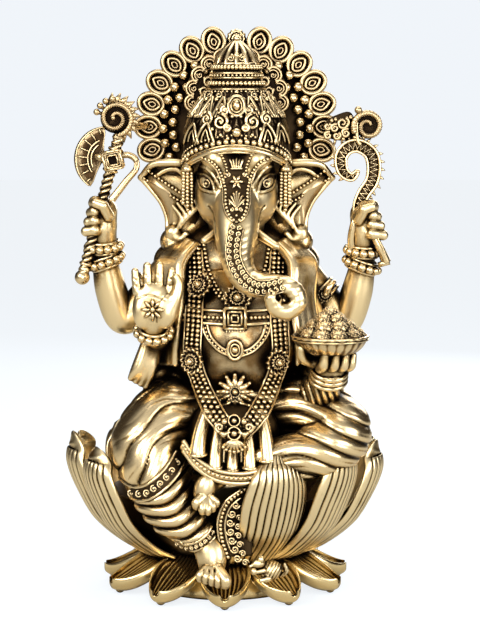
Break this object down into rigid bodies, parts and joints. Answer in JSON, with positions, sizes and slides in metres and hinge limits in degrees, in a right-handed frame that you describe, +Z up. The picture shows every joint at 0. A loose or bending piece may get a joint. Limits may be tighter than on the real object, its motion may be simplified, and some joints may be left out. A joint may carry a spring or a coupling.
{
  "type": "seated elephant-headed idol",
  "caption": "Brass statue of a seated, elephant-headed, many-armed figure on an open lotus, with crown, halo, axe, goad, bowl of sweets and mouse.",
  "frame": {"origin": "centre of the foot rim's underside, on the table", "axes": "+Z up along the figure, the face looks along -Y, the figure's own left is +X"},
  "size_m": [0.1645, 0.1308, 0.2945],
  "materials": {
    "lotus_brass": "cast brass, polished on the raised ridges, dark in the grooves",
    "skin_brass": "smooth polished brass with a brown patina in the folds",
    "cloth_brass": "chased brass with dark pleats",
    "ornament_brass": "chased brass, bright on the beads and black-brown between them"
  },
  "bodies": {
    "root": {"apron": "cloth_brass", "armlets": "ornament_brass", "axe_head": "ornament_brass", "axe_scroll": "ornament_brass", "axe_shaft": "ornament_brass", "axe_tassel": "ornament_brass", "bangles": "ornament_brass", "belly_band": "ornament_brass", "crown_bulb": "ornament_brass", "crown_crest": "ornament_brass", "crown_dome": "ornament_brass", "crown_tiers": "ornament_brass", "forehead_plate": "ornament_brass", "front_left_arm": "skin_brass", "front_right_arm": "skin_brass", "garland": "ornament_brass", "goad_crest": "ornament_brass", "goad_grip": "ornament_brass", "goad_hook": "ornament_brass", "halo_beads": "ornament_brass", "halo_feathers": "ornament_brass", "halo_knob": "ornament_brass", "halo_plate": "ornament_brass", "halo_stays": "ornament_brass", "head": "skin_brass", "hem_panel": "cloth_brass", "left_ear": "skin_brass", "left_foot": "skin_brass", "left_leg": "skin_brass", "lotus_base": "lotus_brass", "lotus_cup": "lotus_brass", "lotus_seat": "lotus_brass", "medallions": "ornament_brass", "mouse": "lotus_brass", "rear_left_arm": "skin_brass", "rear_right_arm": "skin_brass", "right_ear": "skin_brass", "right_foot": "skin_brass", "right_leg": "skin_brass", "shawl": "cloth_brass", "side_tassels": "ornament_brass", "sweets": "ornament_brass", "sweets_bowl": "ornament_brass", "torso": "skin_brass", "trunk": "skin_brass", "tusks": "skin_brass"}
  },
  "joints": []
}
